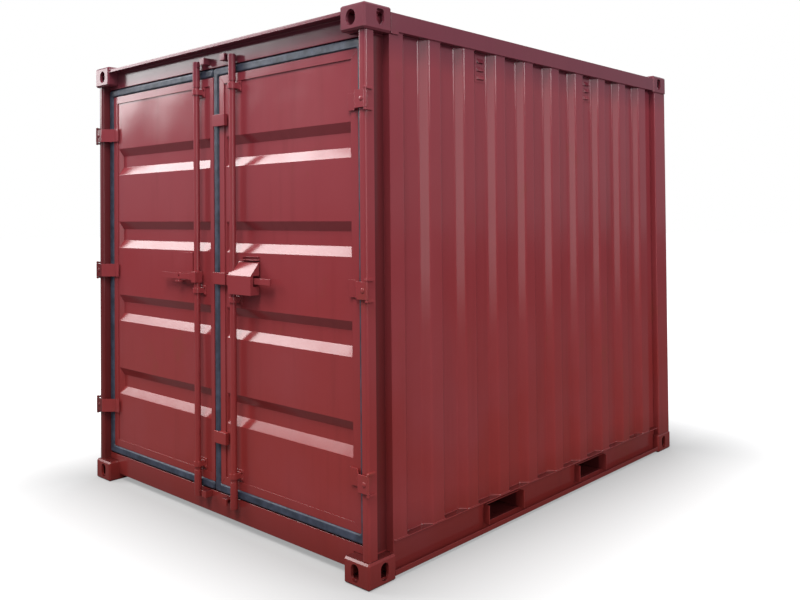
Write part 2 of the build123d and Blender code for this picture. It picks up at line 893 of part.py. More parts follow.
# Catch plate and shelf under the left handle
with BuildPart() as catch:
    shelf_top = handle_z - eye_r - shelf_gap
    box_between(
        eye_x - catch_left,
        eye_x + catch_right,
        field_y - catch_thick,
        field_y,
        shelf_top - catch_below,
        handle_z + catch_above,
    )
    box_between(
        eye_x - shelf_w / 2,
        eye_x + shelf_w / 2,
        bar_y - shelf_reach,
        field_y,
        shelf_top - shelf_thick,
        shelf_top,
    )
save(catch.part, "handle_catch_left")

# Right handle, fixed in the hub of the right bar
with BuildPart() as right_handle:
    box_between(
        bar_right_x + hub_w / 2,
        bar_right_x + right_handle_len,
        bar_y - handle_thick / 2,
        bar_y + handle_thick / 2,
        handle_z - handle_h / 2,
        handle_z + handle_h / 2,
    )
save(right_handle.part, "handle_right")

# Lock box that turns with the right bar, open at the back and below
box_back_y = field_y - box_stand
box_front_y = face_y - box_front
box_low_x = bar_right_x - box_left
box_high_x = bar_right_x + box_right
box_low_z = handle_z - box_below
box_front_high_z = handle_z + box_front_above
box_back_high_z = handle_z + box_back_above
with BuildPart() as lock_box:
    with BuildSketch(Plane.YZ.offset(box_low_x)):
        with BuildLine():
            Polyline(
                (box_front_y, box_low_z),
                (box_front_y, box_front_high_z),
                (box_back_y, box_back_high_z),
                (box_back_y, box_low_z),
                close=True,
            )
        make_face()
    extrude(amount=box_high_x - box_low_x)
    with BuildSketch(Plane.YZ.offset(box_low_x + box_skin)):
        with BuildLine():
            Polyline(
                (box_front_y + box_skin, box_low_z - cut_over),
                (box_front_y + box_skin, box_front_high_z - box_skin / 2),
                (box_back_y + cut_over, box_back_high_z - box_skin),
                (box_back_y + cut_over, box_low_z - cut_over),
                close=True,
            )
        make_face()
    extrude(amount=box_high_x - box_low_x - 2 * box_skin, mode=Mode.SUBTRACT)
    with Locations((bar_right_x, bar_y, (box_low_z + box_back_high_z) / 2)):
        Cylinder(bar_r + box_fit, box_back_high_z - box_low_z + 2 * cut_over, mode=Mode.SUBTRACT)
    box_between(
        bar_right_x - hub_w / 2 - box_fit,
        bar_right_x + hub_w / 2 + box_fit,
        box_front_y + box_skin,
        box_back_y + cut_over,
        handle_z - hub_h / 2 - box_fit,
        handle_z + hub_h / 2 + box_fit,
        Mode.SUBTRACT,
    )
    box_between(
        box_low_x - cut_over,
        bar_right_x + bar_r + box_fit,
        bar_y,
        box_back_y + cut_over,
        box_low_z - cut_over,
        box_back_high_z + cut_over,
        Mode.SUBTRACT,
    )
    box_between(
        box_high_x - 2 * box_skin,
        box_high_x + cut_over,
        bar_y - box_slot_front,
        box_back_y + cut_over,
        handle_z - box_slot_h / 2,
        handle_z + box_slot_h / 2,
        Mode.SUBTRACT,
    )
save(lock_box.part, "lock_box")

# Cover plates over the middle seal
with BuildPart() as covers:
    cover_low_x = seal_mid_low + cover_in
    for z in hinge_z:
        box_between(
            cover_low_x,
            cover_low_x + cover_w,
            face_y - cover_stand - cover_thick,
            face_y - cover_stand,
            z - cover_h / 2,
            z + cover_h / 2,
        )
        box_between(
            seal_mid_high + cover_foot_gap,
            cover_low_x + cover_w,
            face_y - cover_stand,
            face_y,
            z - cover_h / 2,
            z + cover_h / 2,
        )
save(covers.part, "cover_plates")
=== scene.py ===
"""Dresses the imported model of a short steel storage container.

A class is one sub-assembly of the container, one finish, or a tool that they share.
Sizes are in metres and angles in degrees. Methods build the meshes and dress them.
"""
import json
import logging
from collections.abc import Callable
from dataclasses import dataclass
from enum import Enum, IntEnum
from math import pi, radians

import bmesh
import bpy
from mathutils import Matrix, Quaternion, Vector, noise

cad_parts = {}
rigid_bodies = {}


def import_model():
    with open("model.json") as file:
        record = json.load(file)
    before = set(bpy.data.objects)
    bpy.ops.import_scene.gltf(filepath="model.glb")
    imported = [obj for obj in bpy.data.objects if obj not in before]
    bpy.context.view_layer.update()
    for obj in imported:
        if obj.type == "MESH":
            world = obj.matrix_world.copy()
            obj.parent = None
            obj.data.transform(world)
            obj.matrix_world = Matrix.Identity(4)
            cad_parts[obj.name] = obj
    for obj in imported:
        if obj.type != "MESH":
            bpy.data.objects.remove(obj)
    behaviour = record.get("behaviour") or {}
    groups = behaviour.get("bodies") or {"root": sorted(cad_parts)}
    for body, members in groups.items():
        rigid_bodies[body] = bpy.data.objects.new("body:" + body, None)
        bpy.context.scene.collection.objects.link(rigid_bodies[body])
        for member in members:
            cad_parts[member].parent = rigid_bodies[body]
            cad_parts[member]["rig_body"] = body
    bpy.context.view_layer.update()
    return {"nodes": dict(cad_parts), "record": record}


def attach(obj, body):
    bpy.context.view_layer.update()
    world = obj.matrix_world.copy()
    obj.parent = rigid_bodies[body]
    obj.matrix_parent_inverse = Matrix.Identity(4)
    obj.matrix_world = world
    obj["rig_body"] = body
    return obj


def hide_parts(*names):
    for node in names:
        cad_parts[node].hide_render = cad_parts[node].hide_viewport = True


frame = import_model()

Point = tuple[float, float, float]
Pair = tuple[float, float]
Colour = tuple[float, float, float, float]
Row = tuple[float, ...]
Socket = bpy.types.NodeSocket
Mesh = bmesh.types.BMesh
Edges = list[bmesh.types.BMEdge]

LOG = logging.getLogger("container")
FRONT = (0.0, -1.0, 0.0)

# Vertices that are closer than this are merged.
MERGE = 1e-5
# Faces that meet at a smaller angle than this become one.
FLAT_ANGLE = 1.0
# Decimal places that tell one fold of a sheet from the next.
FOLD_PLACES = 4


class Slot(Enum):
    """The finishes that the record knows."""

    PAINT = "oxide_paint"
    RUBBER = "seal_rubber"
    PLY = "floor_plywood"


class Operation(Enum):
    """How two values of a material are combined."""

    PRODUCT = "MULTIPLY"
    LARGER = "MAXIMUM"


class Side(Enum):
    """The container's sides, as seen from in front of the doors."""

    LEFT = "left"
    RIGHT = "right"

    @property
    def sign(self) -> float:
        """Returns the sign that X has on this side."""
        return 1.0 if self is Side.RIGHT else -1.0

    @property
    def leaf(self) -> str:
        """Returns the body of the door leaf on this side."""
        return self.value + "_leaf"


class Axis(IntEnum):
    """The three axes, each the index of its part of a vector."""

    X = 0
    Y = 1
    Z = 2


@dataclass(frozen=True)
class Ramp:
    """Turns one range of values into another and keeps to its ends outside it."""

    low: float
    high: float
    to_low: float = 0.0
    to_high: float = 1.0


@dataclass(frozen=True)
class Patch:
    """A cloudy pattern and the share that it gives.

    The scale counts features per metre and the detail counts octaves. The stretch scales
    each axis, the shift sets one pattern apart from another, and the roughness is the
    weight of the small octaves. The ramp turns the noise into the share.
    """

    scale: float
    detail: float = 3.0
    stretch: Point = (1.0, 1.0, 1.0)
    shift: float = 0.0
    roughness: float = 0.5
    ramp: Ramp = Ramp(0.3, 0.7)


@dataclass(frozen=True)
class PaintedShadeBox:
    """A box painted darker as shade, with a soft edge outside it."""

    centre: Point
    half: Point
    soft: float
    most: float


class NodeBench:
    """A small workbench for wiring one material's nodes."""

    # The mix node's sockets that carry colours.
    MIX_COLOURS = (6, 7)
    MIX_RESULT = 2

    def __init__(self, name: str) -> None:
        """Starts an empty material.

        Args:
            name: The material's name.
        """
        self.material = bpy.data.materials.new(name)
        self.material.use_nodes = True
        self.tree = self.material.node_tree
        self.tree.nodes.clear()
        self.coords = self.node("ShaderNodeTexCoord")

    def node(self, kind: str, **values: object) -> bpy.types.Node:
        """Adds a node and sets its properties.

        Args:
            kind: The node's type name.
            **values: Properties of the node.

        Returns:
            The new node.
        """
        made = self.tree.nodes.new(kind)
        for key, value in values.items():
            setattr(made, key, value)
        return made

    def join(self, source: Socket, target: Socket) -> None:
        """Links two sockets."""
        self.tree.links.new(source, target)

    def noise(self, patch: Patch) -> Socket:
        """Adds a patch's noise on object coordinates.

        Args:
            patch: The pattern.

        Returns:
            The noise's factor socket.
        """
        mapping = self.node("ShaderNodeMapping")
        mapping.inputs["Scale"].default_value = patch.stretch
        mapping.inputs["Location"].default_value = (patch.shift, patch.shift, patch.shift)
        self.join(self.coords.outputs["Object"], mapping.inputs["Vector"])
        made = self.node("ShaderNodeTexNoise")
        made.inputs["Scale"].default_value = patch.scale
        made.inputs["Detail"].default_value = patch.detail
        made.inputs["Roughness"].default_value = patch.roughness
        self.join(mapping.outputs["Vector"], made.inputs["Vector"])
        return made.outputs["Fac"]

    def share(self, patch: Patch) -> Socket:
        """Gives a patch's noise as a share."""
        return self.spread(self.noise(patch), patch.ramp)

    def spread(self, source: Socket, ramp: Ramp) -> Socket:
        """Maps a value by a ramp.

        Args:
            source: The value.
            ramp: The ramp.

        Returns:
            The mapped value's socket.
        """
        made = self.node("ShaderNodeMapRange", clamp=True)
        made.inputs["From Min"].default_value = ramp.low
        made.inputs["From Max"].default_value = ramp.high
        made.inputs["To Min"].default_value = ramp.to_low
        made.inputs["To Max"].default_value = ramp.to_high
        self.join(source, made.inputs["Value"])
        return made.outputs["Result"]

    def upward(self, vector: Socket) -> Socket:
        """Splits off a vector's upward part.

        Args:
            vector: The vector.

        Returns:
            The socket of its Z part.
        """
        split = self.node("ShaderNodeSeparateXYZ")
        self.join(vector, split.inputs["Vector"])
        return split.outputs["Z"]

    def height(self) -> Socket:
        """Gives the height above the ground."""
        return self.upward(self.coords.outputs["Object"])

    def facing_up(self) -> Socket:
        """Gives how far a face looks upward, from -1 to 1."""
        return self.upward(self.node("ShaderNodeNewGeometry").outputs["Normal"])

    def past(self, point: Socket, half: Point) -> Socket:
        """Gives how far a point lies outside a box about the origin.

        Args:
            point: The point.
            half: Half of the box's size on each axis.

        Returns:
            The distance's socket, 0 inside the box.
        """
        vector = point
        for operation, value in (("ABSOLUTE", None), ("SUBTRACT", half), ("MAXIMUM", (0.0, 0.0, 0.0))):
            made = self.node("ShaderNodeVectorMath", operation=operation)
            self.join(vector, made.inputs[0])
            if value is not None:
                made.inputs[1].default_value = value
            vector = made.outputs["Vector"]
        length = self.node("ShaderNodeVectorMath", operation="LENGTH")
        self.join(vector, length.inputs[0])
        return length.outputs["Value"]

    def within(self, spot: PaintedShadeBox) -> Socket:
        """Marks a box of painted shade.

        Args:
            spot: The spot.

        Returns:
            The socket of the painted shade's share.
        """
        shift = self.node("ShaderNodeVectorMath", operation="SUBTRACT")
        self.join(self.coords.outputs["Object"], shift.inputs[0])
        shift.inputs[1].default_value = spot.centre
        away = self.past(shift.outputs["Vector"], spot.half)
        return self.spread(away, Ramp(0.0, spot.soft, spot.most, 0.0))

    def combine(self, operation: Operation, first: Socket, second: Socket) -> Socket:
        """Combines two values.

        Args:
            operation: How they are combined.
            first: The first value.
            second: The second value.

        Returns:
            The result's socket.
        """
        made = self.node("ShaderNodeMath", operation=operation.value)
        self.join(first, made.inputs[0])
        self.join(second, made.inputs[1])
        return made.outputs[0]

    def mix(self, factor: Socket, first: Socket | Colour, second: Socket | Colour) -> Socket:
        """Mixes two colours.

        Args:
            factor: Share of the second colour.
            first: The first colour.
            second: The second colour.

        Returns:
            The mixed colour's socket.
        """
        made = self.node("ShaderNodeMix", data_type="RGBA")
        self.join(factor, made.inputs[0])
        for index, value in zip(self.MIX_COLOURS, (first, second)):
            if isinstance(value, Socket):
                self.join(value, made.inputs[index])
            else:
                made.inputs[index].default_value = value
        return made.outputs[self.MIX_RESULT]

    def relief(self, patch: Patch, depth: float, under: Socket | None = None) -> Socket:
        """Adds a bump of a real height.

        Args:
            patch: The height pattern.
            depth: Height where the pattern is 1.
            under: A bump that lies below this one.

        Returns:
            The normal socket.
        """
        height = self.noise(patch)
        made = self.node("ShaderNodeBump")
        made.inputs["Distance"].default_value = depth
        made.inputs["Strength"].default_value = 1.0
        self.join(height, made.inputs["Height"])
        if under is not None:
            self.join(under, made.inputs["Normal"])
        return made.outputs["Normal"]

    def surface(self, colour: Socket, roughness: Socket, normal: Socket,
                **constants: float) -> bpy.types.Material:
        """Ends the material with one shader.

        Args:
            colour: Base colour.
            roughness: Roughness.
            normal: Normal.
            **constants: Shader inputs that are the same everywhere, with underscores for spaces.

        Returns:
            The finished material.
        """
        shader = self.node("ShaderNodeBsdfPrincipled")
        self.join(colour, shader.inputs["Base Color"])
        self.join(roughness, shader.inputs["Roughness"])
        self.join(normal, shader.inputs["Normal"])
        for key, value in constants.items():
            shader.inputs[key.replace("_", " ")].default_value = value
        out = self.node("ShaderNodeOutputMaterial")
        self.join(shader.outputs["BSDF"], out.inputs["Surface"])
        return self.material


@dataclass(frozen=True)
class GlossPaint:
    """Sprayed oxide red enamel on steel sheet, with faint clouds, runs, stains, painted reflection and
    painted shade.

    The ledge and roof ramps start from how far a face looks upward, and the other ramps
    start from the height above the ground.
    """

    low: Colour = (0.266, 0.0300, 0.0260, 1.0)
    high: Colour = (0.270, 0.0420, 0.0570, 1.0)
    chalk: Colour = (0.285, 0.0540, 0.0640, 1.0)
    rust: Colour = (0.190, 0.0520, 0.0200, 1.0)
    darker_red: Colour = (0.115, 0.0140, 0.0130, 1.0)
    painted_top_shade: Colour = (0.110, 0.0280, 0.0480, 1.0)
    painted_shade_dark: Colour = (0.052, 0.0080, 0.0085, 1.0)
    tone_ramp: Ramp = Ramp(0.1, 2.5)
    low_darkening_ramp: Ramp = Ramp(0.30, 0.02, 0.0, 0.60)
    painted_top_shade_ramp: Ramp = Ramp(2.34, 2.50, 0.0, 0.60)
    painted_ledge_shade_ramp: Ramp = Ramp(0.40, 0.15, 0.0, 0.75)
    dust_ramp: Ramp = Ramp(1.0, 2.0, 0.0, 0.55)
    ledge_ramp: Ramp = Ramp(0.55, 0.95)
    roof_ramp: Ramp = Ramp(0.70, 1.0)
    clouds: Patch = Patch(1.7, 4.0, shift=3.1, ramp=Ramp(0.42, 0.72, 0.0, 0.45))
    runs: Patch = Patch(7.0, 5.0, (1.6, 1.6, 0.10), 5.3, 0.6, Ramp(0.55, 0.78, 0.0, 0.20))
    stains: Patch = Patch(4.5, 7.0, (1.0, 1.0, 0.6), 9.4, 0.68, Ramp(0.60, 0.74, 0.0, 0.28))
    gloss: Patch = Patch(5.0, 5.0, shift=7.7, ramp=Ramp(0.3, 0.7, 0.13, 0.20))
    waves: Patch = Patch(3.2, 2.0, shift=1.9)
    wave_depth: float = 0.0010
    peel: Patch = Patch(420.0, 2.0)
    peel_depth: float = 0.00003
    refraction: float = 1.45
    shine: float = 0.42
    # Painted shade: the two post grooves, the left post's front and the underside below the floor.
    painted_shade_boxes: tuple = (
        PaintedShadeBox((1.1780, -1.3730, 1.296), (0.0255, 0.0485, 1.170), 0.0015, 0.62),
        PaintedShadeBox((-1.1780, -1.3730, 1.296), (0.0255, 0.0485, 1.170), 0.0015, 0.62),
        PaintedShadeBox((-1.1900, -1.4600, 1.296), (0.0350, 0.0350, 1.174), 0.0030, 0.62),
        PaintedShadeBox((0.0, 0.0, 0.080), (1.155, 1.380, 0.082), 0.0100, 0.85),
    )

    def build(self) -> bpy.types.Material:
        """Wires the paint.

        Returns:
            The paint's material.
        """
        bench = NodeBench(Slot.PAINT.value)
        colour = self.colour(bench)
        rough = self.roughness(bench)
        broad = bench.relief(self.waves, self.wave_depth)
        fine = bench.relief(self.peel, self.peel_depth, broad)
        return bench.surface(colour, rough, fine, IOR=self.refraction, Specular_IOR_Level=self.shine)

    def colour(self, bench: NodeBench) -> Socket:
        """Lays the paint's colours and its dirt over each other.

        Args:
            bench: The material's bench.

        Returns:
            The colour's socket.
        """
        # Deeper red low down, pinker and bluer high up: a painted ground reflection below and a painted sky
        # reflection above.
        shown = bench.mix(bench.spread(bench.height(), self.tone_ramp), self.low, self.high)
        shown = bench.mix(bench.share(self.clouds), shown, self.chalk)
        shown = bench.mix(bench.share(self.runs), shown, self.darker_red)
        shown = bench.mix(bench.share(self.stains), shown, self.rust)
        # Darker towards the ground.
        shown = bench.mix(bench.spread(bench.height(), self.low_darkening_ramp), shown, self.darker_red)
        # A bluish dark band from 2.34 to 2.50 m: painted shade under the header's lip and the top rails.
        shown = bench.mix(bench.spread(bench.height(), self.painted_top_shade_ramp), shown, self.painted_top_shade)
        # Painted shade in the post grooves, on the left post's front and under the floor.
        for spot in self.painted_shade_boxes:
            shown = bench.mix(bench.within(spot), shown, self.painted_shade_dark)
        # Painted shade on low faces that look upward, such as the rail ledges between the wall's feet.
        ledge = bench.spread(bench.facing_up(), self.ledge_ramp)
        lying = bench.combine(Operation.PRODUCT, ledge, bench.spread(bench.height(), self.painted_ledge_shade_ramp))
        return bench.mix(lying, shown, self.painted_shade_dark)

    def roughness(self, bench: NodeBench) -> Socket:
        """Makes the paint glossy, and dusty where it looks up high on the container.

        Args:
            bench: The material's bench.

        Returns:
            The roughness's socket.
        """
        gloss = bench.share(self.gloss)
        flat = bench.spread(bench.facing_up(), self.roof_ramp)
        dust = bench.combine(Operation.PRODUCT, flat, bench.spread(bench.height(), self.dust_ramp))
        return bench.combine(Operation.LARGER, gloss, dust)


@dataclass(frozen=True)
class SealRubber:
    """Door seal rubber with a dusty blue grey bloom."""

    dark: Colour = (0.019, 0.024, 0.040, 1.0)
    bloom: Colour = (0.056, 0.068, 0.106, 1.0)
    patches: Patch = Patch(14.0, 6.0, roughness=0.65, ramp=Ramp(0.38, 0.68))
    gloss: Patch = Patch(30.0, 3.0, shift=2.0, ramp=Ramp(0.3, 0.7, 0.42, 0.62))
    waves: Patch = Patch(9.0, 3.0, shift=5.0)
    wave_depth: float = 0.003
    grain: Patch = Patch(260.0, 3.0)
    grain_depth: float = 0.0002
    refraction: float = 1.48

    def build(self) -> bpy.types.Material:
        """Wires the rubber.

        Returns:
            The rubber's material.
        """
        bench = NodeBench(Slot.RUBBER.value)
        colour = bench.mix(bench.share(self.patches), self.dark, self.bloom)
        rough = bench.share(self.gloss)
        wave = bench.relief(self.waves, self.wave_depth)
        grain = bench.relief(self.grain, self.grain_depth, wave)
        return bench.surface(colour, rough, grain, IOR=self.refraction)


@dataclass(frozen=True)
class FloorPly:
    """Oiled container plywood with long grain."""

    pale: Colour = (0.330, 0.205, 0.110, 1.0)
    brown: Colour = (0.150, 0.075, 0.035, 1.0)
    grain: Patch = Patch(9.0, 8.0, (9.0, 0.5, 1.0), roughness=0.7, ramp=Ramp(0.32, 0.68))
    gloss: Patch = Patch(12.0, 4.0, shift=4.0, ramp=Ramp(0.3, 0.7, 0.5, 0.75))
    fibre: Patch = Patch(60.0, 6.0, (9.0, 0.5, 1.0))
    fibre_depth: float = 0.0004
    refraction: float = 1.45

    def build(self) -> bpy.types.Material:
        """Wires the plywood.

        Returns:
            The plywood's material.
        """
        bench = NodeBench(Slot.PLY.value)
        colour = bench.mix(bench.share(self.grain), self.brown, self.pale)
        rough = bench.share(self.gloss)
        return bench.surface(colour, rough, bench.relief(self.fibre, self.fibre_depth), IOR=self.refraction)


class Paintshop:
    """Holds each finish once and puts it on pieces."""

    def __init__(self) -> None:
        """Builds the materials."""
        self.cans = {
            Slot.PAINT: GlossPaint().build(),
            Slot.RUBBER: SealRubber().build(),
            Slot.PLY: FloorPly().build(),
        }

    def dress(self, thing: bpy.types.Object, slot: Slot) -> None:
        """Gives an object the finish of a slot."""
        thing.data.materials.clear()
        thing.data.materials.append(self.cans[slot])

    def dress_frame(self) -> None:
        """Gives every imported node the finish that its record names."""
        slots = {row["node"]: Slot(row["material_slot"]) for row in frame["record"]["subparts"]}
        for name, thing in frame["nodes"].items():
            self.dress(thing, slots[name])


def round_edges(mesh: Mesh, edges: Edges, width: float, segments: int = 2) -> None:
    """Rounds edges of a mesh.

    Args:
        mesh: The mesh.
        edges: Its edges to round.
        width: Width of the rounding on each side of an edge.
        segments: Faces across the rounding.
    """
    bmesh.ops.bevel(
        mesh, geom=edges, offset=width, offset_type="OFFSET", segments=segments, profile=0.5,
        affect="EDGES", clamp_overlap=True, material=-1,
    )


def verts_in(parts: list) -> list[bmesh.types.BMVert]:
    """Picks the vertices among an operator's results."""
    return [part for part in parts if isinstance(part, bmesh.types.BMVert)]


def pulled_bar(profile: tuple[Pair, ...], start: float, stop: float, edge: float) -> Mesh:
    """Pulls a section along the width of the container and rounds all its edges.

    Args:
        profile: Corners of the section, each a depth and a height.
        start: Where the bar starts on the X axis.
        stop: Where it stops.
        edge: Width of the rounding.

    Returns:
        The bar's mesh.
    """
    mesh = bmesh.new()
    face = mesh.faces.new([mesh.verts.new((start, y, z)) for y, z in profile])
    pulled = bmesh.ops.extrude_face_region(mesh, geom=[face])["geom"]
    bmesh.ops.translate(mesh, vec=(stop - start, 0.0, 0.0), verts=verts_in(pulled))
    bmesh.ops.recalc_face_normals(mesh, faces=mesh.faces)
    round_edges(mesh, list(mesh.edges), edge)
    return mesh


def standing(place: Point, way: Point) -> Matrix:
    """Gives the matrix that stands a shape on a place with its Z axis pointing the given way."""
    return Matrix.Translation(place) @ Vector(way).to_track_quat("Z", "Y").to_matrix().to_4x4()


@dataclass(frozen=True)
class Rounding:
    """How the edges of the nodes whose names start alike are rounded.

    An edge is rounded where its faces turn by an angle between the least and the most.
    """

    starts: str
    width: float
    segments: int = 2
    least: float = 25.0
    most: float = 181.0
    slot: Slot = Slot.PAINT

    def copy(self, node: str, settle: Callable[[Mesh], None] | None = None) -> Mesh:
        """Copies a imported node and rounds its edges.

        Args:
            node: The node's name.
            settle: A change that the merged copy gets first.

        Returns:
            The rounded mesh.
        """
        mesh = bmesh.new()
        mesh.from_mesh(frame["nodes"][node].data)
        bmesh.ops.remove_doubles(mesh, verts=mesh.verts, dist=MERGE)
        bmesh.ops.dissolve_limit(
            mesh, angle_limit=radians(FLAT_ANGLE), verts=mesh.verts, edges=mesh.edges,
        )
        if settle is not None:
            settle(mesh)
        low, high = radians(self.least), radians(self.most)
        edges = [edge for edge in mesh.edges if edge.is_manifold and low < edge.calc_face_angle() < high]
        round_edges(mesh, edges, self.width, self.segments)
        return mesh


EDGES = (
    Rounding("casting_", 0.006, 3),
    Rounding("door_post_", 0.0025),
    Rounding("rear_", 0.0025),
    Rounding("door_header", 0.0035, 3),
    Rounding("door_sill", 0.003, 3),
    Rounding("top_side_rail_", 0.003, 3),
    Rounding("bottom_side_rail_", 0.003, 3),
    Rounding("side_wall_", 0.009, 4, 18.0, 70.0),
    Rounding("end_wall", 0.009, 4, 18.0, 70.0),
    Rounding("roof_panel", 0.006, 3, 18.0, 70.0),
    Rounding("fork_pocket_", 0.0018),
    Rounding("cross_members", 0.0018),
    Rounding("wall_vents_", 0.0007),
    Rounding("leaf_panel_", 0.006, 4, 12.0, 70.0),
    Rounding("seal_", 0.012, 5, 40.0, 181.0, Slot.RUBBER),
    Rounding("hinge_", 0.0015),
    Rounding("bar_guides_", 0.0015),
    Rounding("lock_bar_", 0.0015, 2, 38.0),
    Rounding("handle_", 0.0015, 2, 38.0),
    Rounding("lock_box", 0.0022, 3),
    Rounding("cover_plates", 0.0015),
    Rounding("header_keepers", 0.0015),
    Rounding("sill_keepers", 0.0015),
)


@dataclass(frozen=True)
class Unevenness:
    """The slight waviness of thin sheet between its seams.

    The sheet lies along one axis and upward, and moves across. The waves are counted per
    metre along and upward, and the margins at the sheet's rim stay calmer.
    """

    along: Axis
    across: Axis
    depth: float
    waves: Pair
    cell: float = 0.05
    margin: Pair = (0.04, 0.04)
    seed: float = 0.0

    def cut(self, mesh: Mesh, axis: Axis, low: float, high: float) -> None:
        """Cuts a sheet into strips of about one cell.

        Args:
            mesh: The sheet's mesh.
            axis: Axis that the strips follow each other on.
            low: Where the sheet starts on it.
            high: Where it ends.
        """
        count = round((high - low) / self.cell)
        for step in range(1, count):
            place, normal = Vector(), Vector()
            place[axis] = low + (high - low) * step / count
            normal[axis] = 1.0
            bmesh.ops.bisect_plane(
                mesh, geom=[*mesh.verts, *mesh.edges, *mesh.faces], plane_co=place, plane_no=normal,
            )

    def press(self, mesh: Mesh) -> None:
        """Cuts a sheet into cells and moves it a little across its plane.

        Args:
            mesh: The sheet's mesh.
        """
        low = [min(vert.co[axis] for vert in mesh.verts) for axis in Axis]
        high = [max(vert.co[axis] for vert in mesh.verts) for axis in Axis]
        for axis in (self.along, Axis.Z):
            self.cut(mesh, axis, low[axis], high[axis])
        for vert in mesh.verts:
            fade = 1.0
            for axis, margin in zip((self.along, Axis.Z), self.margin):
                inside = min(vert.co[axis] - low[axis], high[axis] - vert.co[axis])
                fade *= min(1.0, inside / margin)
            spot = Vector((vert.co[self.along] * self.waves[0], vert.co.z * self.waves[1], self.seed))
            vert.co[self.across] += self.depth * fade * noise.noise(spot)


SHEETS = {
    "leaf_panel_left": Unevenness(Axis.X, Axis.Y, 0.0030, (3.2, 1.9), seed=2.3),
    "leaf_panel_right": Unevenness(Axis.X, Axis.Y, 0.0030, (3.2, 1.9), seed=7.1),
    "side_wall_left": Unevenness(Axis.Y, Axis.X, 0.0016, (2.1, 1.4), 0.11, (0.05, 0.45), 4.2),
    "side_wall_right": Unevenness(Axis.Y, Axis.X, 0.0016, (2.1, 1.4), 0.11, (0.05, 0.45), 9.6),
    "end_wall": Unevenness(Axis.X, Axis.Y, 0.0016, (2.1, 1.4), 0.11, (0.05, 0.15), 5.5),
}


def body_of_node(node: str) -> str:
    """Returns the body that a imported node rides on."""
    return frame["nodes"][node]["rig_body"]


@dataclass
class Workshop:
    """Turns finished meshes into pieces that ride on bodies."""

    paints: Paintshop
    smooth: float = 38.0

    def piece(self, name: str, mesh: Mesh, body: str, slot: Slot = Slot.PAINT,
              stands_for: tuple = ()) -> bpy.types.Object:
        """Makes an object of a mesh.

        Args:
            name: The piece's name.
            mesh: Its mesh, which is freed.
            body: The body that it rides on.
            slot: Its finish.
            stands_for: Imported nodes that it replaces.

        Returns:
            The piece.
        """
        data = bpy.data.meshes.new(name)
        mesh.to_mesh(data)
        mesh.free()
        data.shade_smooth()
        data.set_sharp_from_angle(angle=radians(self.smooth))
        thing = bpy.data.objects.new(name, data)
        bpy.context.scene.collection.objects.link(thing)
        self.paints.dress(thing, slot)
        even = thing.modifiers.new("even", "WEIGHTED_NORMAL")
        even.keep_sharp = True
        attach(thing, body)
        if stands_for:
            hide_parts(*stands_for)
        LOG.info("%s: %d faces on %s", name, len(data.polygons), body)
        return thing

    def soften(self, rounding: Rounding) -> None:
        """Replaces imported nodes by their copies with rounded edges.

        Args:
            rounding: The rounding and the start of the nodes' names.
        """
        for node in sorted(name for name in frame["nodes"] if name.startswith(rounding.starts)):
            mesh = rounding.copy(node)
            if node in SHEETS:
                SHEETS[node].press(mesh)
            self.piece(node + "_soft", mesh, body_of_node(node), rounding.slot, (node,))


@dataclass(frozen=True)
class DomeHead:
    """The domed head of a pressed fastener."""

    radius: float
    rise: float
    segments: int = 14
    rings: int = 8

    def add(self, mesh: Mesh, place: Point, way: Point) -> None:
        """Adds one head, the upper half of a flattened ball.

        Args:
            mesh: The mesh that takes it.
            place: Centre of its foot.
            way: Direction that it points in.
        """
        verts = bmesh.ops.create_uvsphere(
            mesh, u_segments=self.segments, v_segments=self.rings, radius=self.radius,
        )["verts"]
        edges = dict.fromkeys(edge for vert in verts for edge in vert.link_edges)
        faces = dict.fromkeys(face for vert in verts for face in vert.link_faces)
        cut = bmesh.ops.bisect_plane(
            mesh, geom=[*verts, *edges, *faces], plane_co=(0, 0, 0), plane_no=(0, 0, -1), clear_outer=True,
        )
        dome = verts_in(cut["geom"])
        bmesh.ops.scale(mesh, vec=(1.0, 1.0, self.rise / self.radius), verts=dome)
        bmesh.ops.transform(mesh, matrix=standing(place, way), verts=dome)


@dataclass(frozen=True)
class HexHead:
    """A hexagon bolt head on its washer.

    The washer's two radii and the rounding of the crown are shares of the head's width
    across its flats and of its rise.
    """

    across: float
    rise: float
    sides: int = 6
    washer: float = 0.0012
    washer_sides: int = 18
    washer_radii: Pair = (0.95, 0.88)
    flats_to_corners: float = 1.732
    crown_reach: float = 0.6
    crown_edge: float = 0.18

    def add(self, mesh: Mesh, place: Point, way: Point) -> None:
        """Adds one head.

        Args:
            mesh: The mesh that takes it.
            place: Centre of its foot.
            way: Direction that it points in.
        """
        turn = standing(place, way)
        foot, brim = (self.across * share for share in self.washer_radii)
        bmesh.ops.create_cone(
            mesh, cap_ends=True, segments=self.washer_sides, radius1=foot, radius2=brim,
            depth=self.washer, matrix=turn @ Matrix.Translation((0, 0, self.washer / 2)),
        )
        corner = self.across / self.flats_to_corners
        head = bmesh.ops.create_cone(
            mesh, cap_ends=True, segments=self.sides, radius1=corner, radius2=corner,
            depth=self.rise, matrix=turn @ Matrix.Translation((0, 0, self.washer + self.rise / 2)),
        )
        crown = turn @ Vector((0, 0, self.washer + self.rise))
        top = dict.fromkeys(
            edge for vert in head["verts"] for edge in vert.link_edges
            if all((end.co - crown).length < self.across * self.crown_reach for end in edge.verts)
        )
        round_edges(mesh, list(top), self.rise * self.crown_edge)


